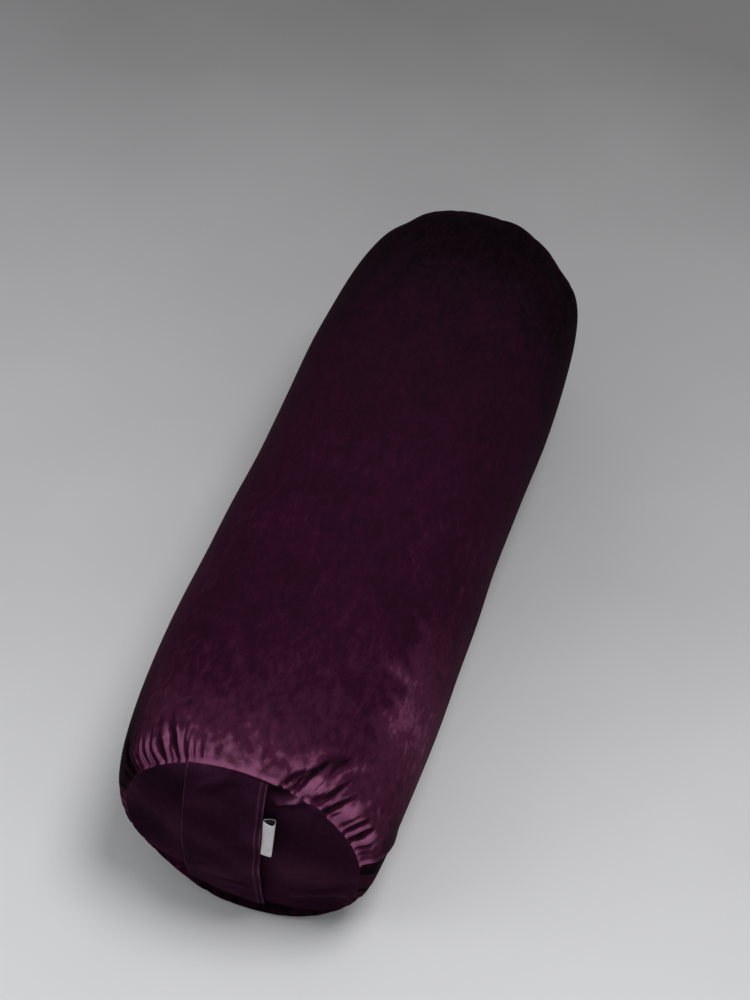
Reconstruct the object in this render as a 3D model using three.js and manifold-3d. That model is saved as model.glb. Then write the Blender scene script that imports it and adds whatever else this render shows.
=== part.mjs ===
// A round yoga bolster as it lies on the floor: a velvet cover gathered onto two round end
// panels, a carry band sewn across the near panel with a folded ribbon in its edge, a concealed
// zip in the lengthwise seam, and a stuffed cotton bag inside.
// Millimetres. +Y runs from the carry-band end to the far end, +Z is up, and the origin is on
// the floor under the middle of the bolster.
import * as THREE from "three";
import { mergeVertices } from "three/addons/utils/BufferGeometryUtils.js";
import Module from "manifold-3d";

const wasm = await Module();
wasm.setup();
const { lerp, clamp, degToRad } = THREE.MathUtils;

// The filled cover as it lies
const bolsterLength = 650; // from one circular seam to the other
const bolsterWidth = 240; // at its fullest, before the waist is drawn in
const bolsterHeight = 220;
const pressDepth = 5; // how much of the underside the floor presses flat
const endRise = 8; // how far the circular seams draw up from the pressed underside
const waistShare = 0.05; // of the width, drawn in at the middle by use
const waistReachShare = 0.8;
const topRoundness = 2;
const undersideRoundness = 2.3;
const endRoundness = 2.3;

// The round end panels
const panelWidth = 192;
const panelHeight = 186;
const panelCrown = 8;
const farPanelCrown = 12;

// Cloth and the gap that sewn layers keep
const velvet = 2;
const bagCotton = 1;
const clearance = 0.3;
const overrun = 20; // how far a cutting solid runs past what it cuts

// Gathers where the wide cover is drawn in to the panels
const gatherDepth = 4.4;
const gatherRun = 60;
const gatherPairs = 30;
const gatherSpreadShare = 0.45;
const gatherBeat = 2.3;

// The lengthwise seam, whose upper edge laps over the lower one
const seamAngle = degToRad(-36);
const nearSeamAngle = degToRad(6);
const lapHeight = 1.2;
const lapFadeShare = 0.35;
const lapStepAngle = degToRad(0.5);
const seamAllowance = 15;
const seamBedDepth = 4.4; // from the seam line in to the inner face of the turned-in cloth

// The concealed zip
const chainLength = 460;
const tapeEnd = 12; // tape past each end of the chain
const tapeWidth = 12;
const tapeThickness = 0.7;
const slotWidth = 1.8;
const coilWidth = 2.3;
const coilThickness = 2.2;
const coilMeet = 0.3;
const neckWidth = 1.2;
const neckLength = 4.6;
const sliderLength = 9;
const shoeWall = 1.2;
const crownLength = 8.5;
const crownWidth = 4.6;
const crownThickness = 0.9;
const bailLength = 6.4;
const bailWall = 1;
const bailThickness = 1.6;
const pullLength = 24;
const pullEyeWidth = 5;
const pullTipWidth = 7.6;
const pullThickness = 1.1;
const stopLength = 2.4;

// The carry band
const bandWidth = 63;
const bandThickness = 3;
const bandEdgeThickness = 1.8;
const bandSlack = 7; // finger room at half height
const bandHeadX = -2;
const bandFootX = -12;
const bandEdgeShare = 0.9;
const bandSeamInset = 1.5;
const ribbonDepthShare = 0.75; // how far out through the band the ribbon is sewn in

// The folded ribbon in the band's edge
const ribbonHeight = 42;
const ribbonLoop = 10;
const ribbonThickness = 0.6;
const ribbonOpen = 3.4;
const ribbonSewnThickness = 0.7; // both leaves, pressed together by their stitches
const ribbonHingeGap = 0.6;
const ribbonPlaceShare = 0.7;

// Counts of points
const layerPoints = 30;
const archPoints = 10;
const panelRingShares = [0.22, 0.44, 0.66, 0.86, 1];
const stationShares = [1, 0.975, 0.92, 0.83, 0.72, 0.42, 0];
const bandRows = 20;
const bandColumns = 8;

const halfLength = bolsterLength / 2;

function material(colour, roughness, metalness = 0) {
  return new THREE.MeshStandardMaterial({ color: colour, roughness, metalness });
}

const velvetFinish = material(0x3a1330, 0.75);
const panelFinish = material(0x26101f, 0.8);
const ribbonFinish = material(0xd8d4d2, 0.6);
const tapeFinish = material(0x2a0e22, 0.85);
const coilFinish = material(0x35152c, 0.45);
const metalFinish = material(0x2e1a2a, 0.4, 0.6);
const cottonFinish = material(0xd9d2c4, 0.9);
const fillingFinish = material(0xb89a6a, 0.95);

// Closed surface through rings of points, with a point at the middle of each end
function loft(rings, start, end) {
  const count = rings[0].length;
  const points = [start, ...rings.flat(), end];
  const last = points.length - 1;
  const index = [];
  for (let j = 0; j < count; j++) {
    const next = (j + 1) % count;
    index.push(0, 1 + j, 1 + next);
    index.push(last, last - count + next, last - count + j);
    for (let k = 0; k + 1 < rings.length; k++) {
      const a = 1 + k * count + j;
      const b = 1 + k * count + next;
      index.push(a, a + count, b, b, a + count, b + count);
    }
  }
  const geometry = new THREE.BufferGeometry().setFromPoints(points);
  geometry.setIndex(index);
  geometry.computeVertexNormals();
  return geometry;
}

function toSolid(geometry) {
  const bare = geometry.clone();
  bare.deleteAttribute("normal");
  bare.deleteAttribute("uv");
  const merged = mergeVertices(bare);
  return new wasm.Manifold(
    new wasm.Mesh({
      numProp: 3,
      vertProperties: merged.attributes.position.array,
      triVerts: Uint32Array.from(merged.index.array),
    }),
  );
}

function toGeometry(solid) {
  const mesh = solid.getMesh();
  const geometry = new THREE.BufferGeometry();
  geometry.setAttribute("position", new THREE.BufferAttribute(mesh.vertProperties, 3));
  geometry.setIndex(new THREE.BufferAttribute(mesh.triVerts, 1));
  geometry.computeVertexNormals();
  return geometry;
}

function named(name, geometry, finish) {
  const mesh = new THREE.Mesh(geometry, finish);
  mesh.name = name;
  return mesh;
}

// How full the body is at a station: 0 at the circular seams, 1 at the middle
function fullness(y) {
  const out = Math.min(Math.abs(y) / halfLength, 1);
  return (1 - out ** endRoundness) ** (1 / endRoundness);
}

// Half width, half height and middle height of the body at one of its stations
function stationSection(y) {
  const full = fullness(y);
  const out = Math.abs(y) / halfLength / waistReachShare;
  const waist = out < 1 ? waistShare * Math.cos((Math.PI * out) / 2) ** 2 : 0;
  const halfHeight = lerp(panelHeight, bolsterHeight + pressDepth, full) / 2;
  return [
    (lerp(panelWidth, bolsterWidth, full) / 2) * (1 - waist),
    halfHeight,
    halfHeight - pressDepth + endRise * (1 - full),
  ];
}

const stationYs = stationShares.map((share) => share * halfLength);
const stationSections = stationYs.map(stationSection);

// The same at any place, straight between the stations, so that every layer nests in the next
function section(y) {
  const out = Math.min(Math.abs(y), halfLength);
  const k = Math.max(stationYs.findIndex((at) => out >= at), 1);
  const blend = (out - stationYs[k]) / (stationYs[k - 1] - stationYs[k]);
  const between = stationSections[k].map((size, i) => lerp(size, stationSections[k - 1][i], blend));
  const [halfWidth, halfHeight, middle] = between;
  return { halfWidth, halfHeight, middle };
}

// A point on the body at a station and an angle round it, drawn in by an inset
function bodyPoint(y, angle, inset) {
  const { halfWidth, halfHeight, middle } = section(y);
  const across = Math.cos(angle);
  const up = Math.sin(angle);
  const power = 2 / (up > 0 ? topRoundness : undersideRoundness);
  const x = (halfWidth - inset) * Math.sign(across) * Math.abs(across) ** power;
  const z = middle + (halfHeight - inset) * Math.sign(up) * Math.abs(up) ** power;
  return new THREE.Vector3(x, y, Math.max(z, inset));
}

function stations(endY) {
  const inside = stationYs.filter((y) => y > 0 && y < endY);
  return [-endY, ...inside.map((y) => -y), 0, ...inside.reverse(), endY];
}

function middlePoint(y) {
  return new THREE.Vector3(0, y, section(y).middle);
}

// A smooth filled body, drawn in by an inset and ending at plus and minus endY
function layerBody(inset, endY, past = 0) {
  const ring = (y, at) =>
    Array.from({ length: layerPoints }, (_, k) => {
      const point = bodyPoint(y, seamAngle + (2 * Math.PI * k) / layerPoints, inset);
      return point.setY(at);
    });
  const rings = stations(endY).map((y) => ring(y, y));
  if (past > 0) {
    rings.unshift(ring(-endY, -endY - past));
    rings.push(ring(endY, endY + past));
  }
  const reach = endY + past;
  const start = middlePoint(-endY).setY(-reach);
  const end = middlePoint(endY).setY(reach);
  return toSolid(loft(rings, start, end));
}

// The seam runs straight along the zip, then the gathers draw it up towards the near panel
function seamDrift(y) {
  const straight = halfLength * stationShares[4];
  const past = clamp((-y - straight) / (halfLength - straight), 0, 1);
  return (nearSeamAngle - seamAngle) * past;
}

// One ring of the cover, with its gathers and the raised edge of the lapped seam
function coverRing(y) {
  const count = 2 * gatherPairs;
  const fade = Math.exp((Math.abs(y) - halfLength) / gatherRun);
  const ring = [];
  for (let k = 0; k < count; k++) {
    const turn = (2 * Math.PI * k) / count;
    const angle = seamAngle + turn + seamDrift(y) * (0.5 + 0.5 * Math.cos(turn));
    const swell = 1 - gatherSpreadShare + gatherSpreadShare * Math.sin(gatherBeat * k);
    const gather = k % 2 ? gatherDepth * swell * fade : 0;
    const lap = k < 2 ? lapHeight * lapFadeShare ** k : 0;
    ring.push(bodyPoint(y, angle, -Math.max(gather, lap)));
  }
  ring.push(bodyPoint(y, seamAngle + seamDrift(y) - lapStepAngle, 0));
  ring.forEach((point) => point.setZ(Math.max(point.z, 0)));
  return ring;
}

// The zip's own frame: X out of the cover, Y along the seam, Z round the cover
function zipFrame() {
  const angle = seamAngle - lapStepAngle / 2;
  const ends = chainLength / 2;
  const line = [...stations(halfLength).filter((y) => Math.abs(y) < ends), -ends, ends];
  const above = bodyPoint(0, angle + lapStepAngle, 0);
  const along = above.sub(bodyPoint(0, angle - lapStepAngle, 0)).normalize();
  const out = new THREE.Vector3(along.z, 0, -along.x);
  const points = line.map((y) => bodyPoint(y, angle, 0));
  const reaches = points.map((point) => point.dot(out));
  const side = points[0].dot(along);
  const place = out.clone().multiplyScalar(Math.min(...reaches));
  place.add(along.clone().multiplyScalar(side));
  place.setY(0);
  const proud = Math.max(...reaches) - Math.min(...reaches);
  return { place, turn: Math.atan2(out.x, out.z) - Math.PI / 2, proud };
}

const zip = zipFrame();
const zipGroup = new THREE.Group();
zipGroup.position.copy(zip.place);
zipGroup.rotation.y = zip.turn;
zipGroup.updateMatrixWorld(true);

// A block in the zip's frame, given by its lowest and highest corners
function block(low, high) {
  const size = high.map((value, i) => value - low[i]);
  const geometry = new THREE.BoxGeometry(...size);
  geometry.translate(...low.map((value, i) => value + size[i] / 2));
  return geometry;
}

function zipCutter(low, high) {
  return toSolid(block(low, high).applyMatrix4(zipGroup.matrixWorld));
}

// Depths below the seam line, from the turned-in cloth down to the slider's sole
const tapeTop = -seamBedDepth - clearance;
const tapeFoot = tapeTop - tapeThickness;
const coilTop = tapeFoot - clearance;
const coilFoot = coilTop - coilThickness;
const soleTop = coilFoot - clearance;
const soleFoot = soleTop - shoeWall;
const tapeReach = slotWidth / 2 + tapeWidth;
const spread = neckWidth / 2 + clearance;
const shoeHalf = spread + coilWidth + clearance + shoeWall;
const tapeHalfLength = chainLength / 2 + tapeEnd;

// The pocket that the zip presses into the stuffing, grown by a margin on every side
function zipPocket(margin) {
  const reach = seamAllowance + clearance + margin;
  const length = tapeHalfLength + clearance + margin;
  const shelf = tapeFoot - clearance - margin;
  const trench = soleFoot - clearance - margin;
  const trenchHalf = shoeHalf + clearance + margin;
  const wide = zipCutter([shelf, -length, -reach], [overrun, length, reach]);
  const deep = zipCutter([trench, -length, -trenchHalf], [overrun, length, trenchHalf]);
  return wide.add(deep);
}

function coverSleeve() {
  const rings = stations(halfLength).map(coverRing);
  const outside = toSolid(loft(rings, middlePoint(-halfLength), middlePoint(halfLength)));
  const wall = outside.subtract(layerBody(velvet, halfLength, overrun));
  const reach = tapeHalfLength;
  const turned = zipCutter([-seamBedDepth, -reach, -seamAllowance], [overrun, reach, seamAllowance]);
  const half = chainLength / 2;
  const slot = zipCutter([-overrun, -half, -slotWidth / 2], [overrun, half, slotWidth / 2]);
  return toGeometry(wall.add(turned.intersect(outside)).subtract(slot));
}

// A crowned cloth disc: side is -1 at the near end and 1 at the far end
function crownedDisc(side, rimY, inset, crown, thickness) {
  const { middle } = section(halfLength);
  const ring = (share, y) =>
    Array.from({ length: layerPoints }, (_, k) => {
      const angle = seamAngle + (2 * Math.PI * k) / layerPoints;
      const rim = bodyPoint(halfLength, angle, inset);
      return new THREE.Vector3(rim.x * share, y, middle + (rim.z - middle) * share);
    });
  const faceY = (share, lift) => side * (rimY + crown * (1 - share ** 2) + lift);
  const outer = panelRingShares.map((share) => ring(share, faceY(share, thickness)));
  const inner = panelRingShares.map((share) => ring(share, faceY(share, 0))).reverse();
  const start = new THREE.Vector3(0, faceY(0, thickness), middle);
  const end = new THREE.Vector3(0, faceY(0, 0), middle);
  const rings = [...outer, ...inner];
  return side < 0 ? loft(rings, start, end) : loft(rings.reverse(), end, start);
}

function endPanel(side, crown) {
  return crownedDisc(side, halfLength + clearance, 0, crown, velvet);
}

const bagInset = velvet + clearance;
const bagEndY = halfLength - bagCotton - clearance;

function bagSleeve() {
  const outside = layerBody(bagInset, bagEndY).subtract(zipPocket(0));
  const inside = layerBody(bagInset + bagCotton, bagEndY, overrun);
  return toGeometry(outside.subtract(inside.subtract(zipPocket(bagCotton))));
}

function bagEnd(side, crown) {
  return crownedDisc(side, bagEndY + clearance, bagInset, crown, bagCotton);
}

// The stuffing fills the bag, crowned at both ends and pressed in under the zip
function stuffing() {
  const inset = bagInset + bagCotton + clearance;
  const lump = layerBody(inset, bagEndY);
  const crownFor = (side, crown) => crownedDisc(side, 0, inset, crown, bagEndY);
  const ends = toSolid(crownFor(-1, panelCrown)).add(toSolid(crownFor(1, farPanelCrown)));
  const fill = lump.add(ends.intersect(layerBody(inset, bagEndY, overrun)));
  return toGeometry(fill.subtract(zipPocket(bagCotton + clearance)));
}

// Where a panel's outline lies above and below its middle, at a place across it
function rimHeights(x) {
  const { halfWidth, halfHeight, middle } = section(halfLength);
  const out = Math.abs(x) / (halfWidth - bandSeamInset);
  const reach = (power) => (halfHeight - bandSeamInset) * (1 - out ** power) ** (1 / power);
  return [middle - reach(undersideRoundness), middle + reach(topRoundness)];
}

// How far the near panel stands out of its seam at a place on it
function panelStand(x, z) {
  const { halfWidth, halfHeight, middle } = section(halfLength);
  const power = z > middle ? topRoundness : undersideRoundness;
  const out = Math.abs(x) / halfWidth;
  const up = Math.abs(z - middle) / halfHeight;
  const share = Math.min((out ** power + up ** power) ** (1 / power), 1);
  return panelCrown * (1 - share ** 2);
}

// A point on the band: alongShare from foot to head, acrossShare from -1 to 1
function bandPoint(alongShare, acrossShare, lift) {
  const x = lerp(bandFootX, bandHeadX, alongShare) + (acrossShare * bandWidth) / 2;
  const [low, high] = rimHeights(x);
  const z = lerp(low, high, alongShare);
  const face = halfLength + clearance + velvet + panelStand(x, z);
  const slack = bandSlack * Math.sin(Math.PI * alongShare);
  return new THREE.Vector3(x, -(face + clearance + slack + lift), z);
}

function carryBand() {
  const rise = (bandThickness - bandEdgeThickness) / 2;
  const profile = [];
  for (let c = 0; c <= bandColumns; c++) {
    const across = clamp((2 * c) / bandColumns - 1, -1, 1);
    const edge = Math.abs(across) === 1;
    const top = edge ? bandThickness - rise : bandThickness;
    profile.push([edge ? across : across * bandEdgeShare, top, edge ? rise : 0]);
  }
  const rings = [];
  for (let r = 0; r <= bandRows; r++) {
    const along = r / bandRows;
    const outer = profile.map(([across, top]) => bandPoint(along, across, top));
    const inner = profile.map(([across, , foot]) => bandPoint(along, across, foot));
    rings.push([...inner, ...outer.reverse()]);
  }
  const middleOf = (along) => bandPoint(along, 0, bandThickness / 2);
  return loft(rings, middleOf(0), middleOf(1));
}

// The ribbon's frame, on the stitches it swings about: X out of the band's edge, Z up the edge
function ribbonGroup() {
  const reach = ribbonHeight / panelHeight / 2;
  const edge = (share, across) => bandPoint(share, across, bandThickness * ribbonDepthShare);
  const low = edge(ribbonPlaceShare - reach, 1);
  const high = edge(ribbonPlaceShare + reach, 1);
  const up = high.clone().sub(low).normalize();
  const inboard = edge(ribbonPlaceShare, bandEdgeShare);
  const out = edge(ribbonPlaceShare, 1).sub(inboard);
  out.addScaledVector(up, -out.dot(up)).normalize();
  const through = up.clone().cross(out);
  const group = new THREE.Group();
  group.position.copy(low.add(high).multiplyScalar(0.5));
  group.quaternion.setFromRotationMatrix(new THREE.Matrix4().makeBasis(out, through, up));
  return group;
}

// A ribbon folded on itself: two leaves that part into an open loop
function foldedRibbon() {
  const radius = ribbonOpen / 2;
  const tip = ribbonLoop - radius;
  const sewn = ribbonSewnThickness / 2;
  const bend = tip / 2;
  const inside = radius - ribbonThickness;
  const parting = ribbonHingeGap + ribbonThickness;
  const outline = new THREE.Shape();
  outline.moveTo(ribbonHingeGap, -sewn);
  outline.quadraticCurveTo(bend, -radius, tip, -radius);
  outline.absarc(tip, 0, radius, -Math.PI / 2, Math.PI / 2, false);
  outline.quadraticCurveTo(bend, radius, ribbonHingeGap, sewn);
  const hollow = new THREE.Path();
  hollow.moveTo(parting, 0);
  hollow.quadraticCurveTo(bend, inside, tip, inside);
  hollow.absarc(tip, 0, inside, Math.PI / 2, -Math.PI / 2, true);
  hollow.quadraticCurveTo(bend, -inside, parting, 0);
  outline.holes.push(hollow);
  const settings = { depth: ribbonHeight, bevelEnabled: false, curveSegments: archPoints };
  const geometry = new THREE.ExtrudeGeometry(outline, settings);
  geometry.translate(0, 0, -ribbonHeight / 2);
  return geometry;
}

// One zip tape: side is 1 above the slot and -1 below it
function zipTape(side) {
  const length = tapeHalfLength - clearance;
  const near = (side * slotWidth) / 2;
  const far = side * (tapeReach - clearance);
  const low = [tapeFoot, -length, Math.min(near, far)];
  return block(low, [tapeTop, length, Math.max(near, far)]);
}

// Where the slider stands when the zip is closed, and how far it runs to open it
const sliderHomeY = chainLength / 2 - stopLength - clearance - sliderLength / 2;
const wedgeStartY = sliderHomeY;

// One coil: it meets its partner behind the slider and parts round the slider's wedge
function zipCoil(side) {
  const corners = 6;
  const ends = chainLength / 2 - stopLength - clearance;
  const meet = coilMeet / 2;
  const run = [
    [-ends, meet],
    [wedgeStartY - neckLength, meet],
    [wedgeStartY - clearance, spread],
    [ends, spread],
  ];
  const rings = run.map(([y, gap]) =>
    Array.from({ length: corners }, (_, k) => {
      const angle = (2 * Math.PI * k) / corners;
      const depth = (coilTop + coilFoot) / 2 + (coilThickness / 2) * Math.cos(angle);
      const across = gap + (coilWidth / 2) * (1 + Math.sin(angle));
      return new THREE.Vector3(depth, y, side * across);
    }),
  );
  const middle = ([y, gap]) =>
    new THREE.Vector3((coilTop + coilFoot) / 2, y, side * (gap + coilWidth / 2));
  const ordered = side < 0 ? rings.map((ring) => ring.reverse()) : rings;
  return loft(ordered, middle(run[0]), middle(run[3]));
}

// Turns a shape drawn in (Z, X) and extruded into one that runs along Y
const alongY = new THREE.Matrix4().set(0, 1, 0, 0, 0, 0, 1, 0, 1, 0, 0, 0, 0, 0, 0, 1);
// Turns a shape drawn in (Y, Z) and extruded into one that rises along X
const alongX = new THREE.Matrix4().set(0, 0, 1, 0, 1, 0, 0, 0, 0, 1, 0, 0, 0, 0, 0, 1);

function extruded(shape, depth, frame) {
  const settings = { depth, bevelEnabled: false, curveSegments: archPoints };
  return new THREE.ExtrudeGeometry(shape, settings).applyMatrix4(frame);
}

// A rectangle with round ends, centred on the origin
function roundedShape(length, width) {
  const radius = width / 2;
  const reach = length / 2 - radius;
  const shape = new THREE.Shape();
  shape.absarc(reach, 0, radius, -Math.PI / 2, Math.PI / 2, false);
  shape.absarc(-reach, 0, radius, Math.PI / 2, (3 * Math.PI) / 2, false);
  return shape;
}

// The slider's parts above the cover stand clear of the lapped edge
const crownFoot = zip.proud + lapHeight + clearance;
const crownTop = crownFoot + crownThickness;
const hingeX = crownTop + clearance + pullThickness / 2;
const bailHole = pullThickness / 2 + clearance;

// The shoe holds the coils, the wedge and neck part them, and the crown carries the bail
function zipSlider() {
  const lip = coilTop - clearance;
  const channel = shoeHalf - shoeWall;
  const points = [
    [-shoeHalf, soleFoot],
    [shoeHalf, soleFoot],
    [shoeHalf, lip],
    [channel, lip],
    [channel, soleTop],
    [-channel, soleTop],
    [-channel, lip],
    [-shoeHalf, lip],
  ];
  const shoe = extruded(new THREE.Shape(points.map((p) => new THREE.Vector2(...p))), sliderLength, alongY);
  shoe.translate(0, -sliderLength / 2, 0);
  const neck = extruded(roundedShape(neckLength, neckWidth), crownTop - soleFoot, alongX);
  neck.translate(soleFoot, neckLength / 2, 0);
  const crown = extruded(roundedShape(crownLength, crownWidth), crownThickness, alongX);
  crown.translate(crownFoot, 0, 0);
  const bailTop = hingeX + bailHole;
  const arch = new THREE.Shape();
  arch.moveTo(crownFoot, -bailLength / 2);
  arch.lineTo(crownFoot, bailLength / 2);
  arch.lineTo(bailTop, bailLength / 2);
  arch.quadraticCurveTo(bailTop + bailWall, bailLength / 2, bailTop + bailWall, bailLength / 2 - bailWall);
  arch.lineTo(bailTop + bailWall, bailWall - bailLength / 2);
  arch.quadraticCurveTo(bailTop + bailWall, -bailLength / 2, bailTop, -bailLength / 2);
  const eye = new THREE.Path();
  eye.moveTo(crownTop, bailWall - bailLength / 2);
  eye.lineTo(bailTop, bailWall - bailLength / 2);
  eye.lineTo(bailTop, bailLength / 2 - bailWall);
  eye.lineTo(crownTop, bailLength / 2 - bailWall);
  arch.holes.push(eye);
  const bail = extruded(arch, bailThickness, new THREE.Matrix4());
  bail.translate(0, 0, -bailThickness / 2);
  const solid = [neck, crown, bail].reduce((sum, piece) => sum.add(toSolid(piece)), toSolid(shoe));
  return toGeometry(solid);
}

// A teardrop pull, whose round cross bar lies in the bail's eye; its origin is the bar
function zipPull() {
  const windowHalf = bailThickness / 2 + clearance;
  const windowEnd = bailLength / 2 + clearance;
  const barHalf = pullThickness / 2;
  const tipHalf = pullTipWidth / 2;
  const eyeHalf = pullEyeWidth / 2;
  const shape = new THREE.Shape();
  shape.moveTo(barHalf, -eyeHalf);
  shape.lineTo(barHalf, eyeHalf);
  shape.lineTo(-windowEnd, eyeHalf);
  shape.lineTo(tipHalf - pullLength, tipHalf);
  shape.absarc(tipHalf - pullLength, 0, tipHalf, Math.PI / 2, (3 * Math.PI) / 2, false);
  shape.lineTo(-windowEnd, -eyeHalf);
  const opening = new THREE.Path();
  opening.moveTo(-barHalf, -windowHalf);
  opening.lineTo(-windowEnd, -windowHalf);
  opening.lineTo(-windowEnd, windowHalf);
  opening.lineTo(-barHalf, windowHalf);
  shape.holes.push(opening);
  const plate = extruded(shape, pullThickness, alongX);
  plate.translate(-pullThickness / 2, 0, 0);
  return plate;
}

// A stop crimped round the end of the chain, from one side of the wedge line to the other
function zipStop(low, high, y) {
  return block([coilFoot, y, low], [coilTop, y + stopLength, high]);
}

const bolster = new THREE.Group();

bolster.add(
  named("cover_sleeve", coverSleeve(), velvetFinish),
  named("near_end_panel", endPanel(-1, panelCrown), panelFinish),
  named("far_end_panel", endPanel(1, farPanelCrown), panelFinish),
  named("carry_handle", carryBand(), panelFinish),
  named("inner_bag_sleeve", bagSleeve(), cottonFinish),
  named("inner_bag_near_end", bagEnd(-1, panelCrown), cottonFinish),
  named("inner_bag_far_end", bagEnd(1, farPanelCrown), cottonFinish),
  named("filling", stuffing(), fillingFinish),
);

const ribbonFrame = ribbonGroup();
ribbonFrame.add(named("side_label", foldedRibbon(), ribbonFinish));
bolster.add(ribbonFrame);

zipGroup.add(
  named("zip_tape_upper", zipTape(1), tapeFinish),
  named("zip_tape_lower", zipTape(-1), tapeFinish),
  named("zip_coil_upper", zipCoil(1), coilFinish),
  named("zip_coil_lower", zipCoil(-1), coilFinish),
);

const topStopY = chainLength / 2 - stopLength;
const stopReach = spread + coilWidth;
zipGroup.add(
  named("zip_top_stop_upper", zipStop(spread, stopReach, topStopY), metalFinish),
  named("zip_top_stop_lower", zipStop(-stopReach, -spread, topStopY), metalFinish),
  named("zip_bottom_stop", zipStop(-coilWidth, coilWidth, -chainLength / 2), metalFinish),
);

const sliderGroup = new THREE.Group();
sliderGroup.position.set(0, sliderHomeY, 0);
sliderGroup.add(named("zip_slider", zipSlider(), metalFinish));
const pull = named("zip_pull", zipPull(), metalFinish);
pull.position.set(hingeX, 0, 0);
sliderGroup.add(pull);
zipGroup.add(sliderGroup);
bolster.add(zipGroup);

export default bolster;
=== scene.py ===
import math

import bpy
import numpy as np
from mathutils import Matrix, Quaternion, Vector


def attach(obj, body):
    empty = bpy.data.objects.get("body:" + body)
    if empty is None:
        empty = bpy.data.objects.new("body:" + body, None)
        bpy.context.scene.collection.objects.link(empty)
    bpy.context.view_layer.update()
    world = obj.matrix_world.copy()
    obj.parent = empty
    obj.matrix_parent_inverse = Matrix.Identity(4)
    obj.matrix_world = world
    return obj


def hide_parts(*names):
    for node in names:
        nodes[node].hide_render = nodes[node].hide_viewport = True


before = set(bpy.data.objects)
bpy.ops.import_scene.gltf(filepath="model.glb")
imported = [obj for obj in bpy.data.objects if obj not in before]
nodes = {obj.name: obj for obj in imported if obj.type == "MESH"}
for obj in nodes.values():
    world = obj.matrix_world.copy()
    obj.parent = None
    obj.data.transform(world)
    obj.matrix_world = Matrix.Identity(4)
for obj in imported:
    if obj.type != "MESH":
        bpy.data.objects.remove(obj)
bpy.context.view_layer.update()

scene = bpy.context.scene

# View
# The bolster lies on a plain pale floor and is seen from above its carry-band end, 1.3 m up
# and a little to its right, as in the photograph.
def placed(name, data, place, turn):
    """Puts a camera or a lamp where it belongs."""
    made = bpy.data.objects.new(name, data)
    made.location = place
    made.rotation_mode = "QUATERNION"
    made.rotation_quaternion = turn
    scene.collection.objects.link(made)
    return made


camera_place, camera_sight = (0.3415, -1.0132, 1.3245), Vector((-0.2116, 0.6334, -0.7443))
camera_turn = camera_sight.to_track_quat("-Z", "Y") @ Quaternion((0, 0, 1), -0.0068)
camera_data = bpy.data.cameras.new("camera")
camera_data.sensor_width = 36
camera_data.lens = 67.28
camera_data.clip_end = 60
scene.camera = placed("camera", camera_data, camera_place, camera_turn)
scene.view_settings.view_transform = "Standard"


# Light
# Soft daylight: a wide window high on the right, a doorway on the left and a pale room.
def soft_lamp(name, place, towards, size, watts):
    lamp = bpy.data.lights.new(name, "AREA")
    lamp.shape = "DISK"
    lamp.size = size
    lamp.energy = watts
    placed(name, lamp, place, (Vector(towards) - Vector(place)).to_track_quat("-Z", "Y"))


soft_lamp("window", (0.8, 0.05, 2.6), (0.0, -0.05, 0.1), 1.1, 38)
soft_lamp("doorway", (-1.6, -1.3, 2.2), (0.0, -0.2, 0.1), 1.4, 8)

room = bpy.data.worlds.new("room")
room.use_nodes = True
background = room.node_tree.nodes["Background"].inputs
background["Color"].default_value = (0.60, 0.61, 0.63, 1)
background["Strength"].default_value = 0.74
scene.world = room


# Helpers
# What all the pieces below are made with: colours, shader nodes, meshes and smooth steps.
def linear(red, green, blue):
    """A colour as it is picked from a picture, 0 to 255, turned into light."""
    return tuple(((part / 255 + 0.055) / 1.055) ** 2.4 for part in (red, green, blue)) + (1.0,)


class Shade:
    """A shader socket that arithmetic can be done on; node() adds any other node."""

    def __init__(self, tree, socket=None):
        self.tree = tree
        self.socket = socket

    def node(self, kind, settings=None, inputs=None, output=0):
        made = self.tree.nodes.new("ShaderNode" + kind)
        for name, value in (settings or {}).items():
            setattr(made, name, value)
        for name, value in (inputs or {}).items():
            if isinstance(value, Shade):
                self.tree.links.new(value.socket, made.inputs[name])
            else:
                made.inputs[name].default_value = value
        return Shade(self.tree, made.outputs[output])

    def maths(self, operation, first, second):
        return self.node("Math", {"operation": operation}, {0: first, 1: second})

    def __add__(self, other):
        return self.maths("ADD", self, other)

    def __sub__(self, other):
        return self.maths("SUBTRACT", self, other)

    def __mul__(self, other):
        return self.maths("MULTIPLY", self, other)

    def __rsub__(self, other):
        return self.maths("SUBTRACT", other, self)

    __radd__, __rmul__ = __add__, __mul__


def finish_named(name, shader_values):
    """A new material, the place on the object as a Shade, and the Principled shader."""
    material = bpy.data.materials.new(name)
    material.use_nodes = True
    tree = material.node_tree
    shader = tree.nodes["Principled BSDF"]
    for socket, value in shader_values.items():
        shader.inputs[socket].default_value = value
    return material, Shade(tree).node("TexCoord", output=3), shader


def axis(place, number):
    """One coordinate of a place: 0 is x, 1 is y and 2 is z."""
    return place.node("SeparateXYZ", None, {"Vector": place}, number)


def noise(place, size, detail=2.0, rough=0.5, distortion=0.0):
    """Soft noise from about 0 to 1, whose blobs are size metres wide."""
    values = {"Vector": place, "Scale": 1 / size, "Detail": detail}
    values.update({"Roughness": rough, "Distortion": distortion})
    return place.node("TexNoise", None, values)


def sine(value, pitch):
    """A sine wave from -1 to 1 that comes again every pitch metres."""
    return value.maths("SINE", value * (2 * math.pi / pitch), 0)


def feed(shader, socket, value):
    value.tree.links.new(value.socket, shader.inputs[socket])


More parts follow.
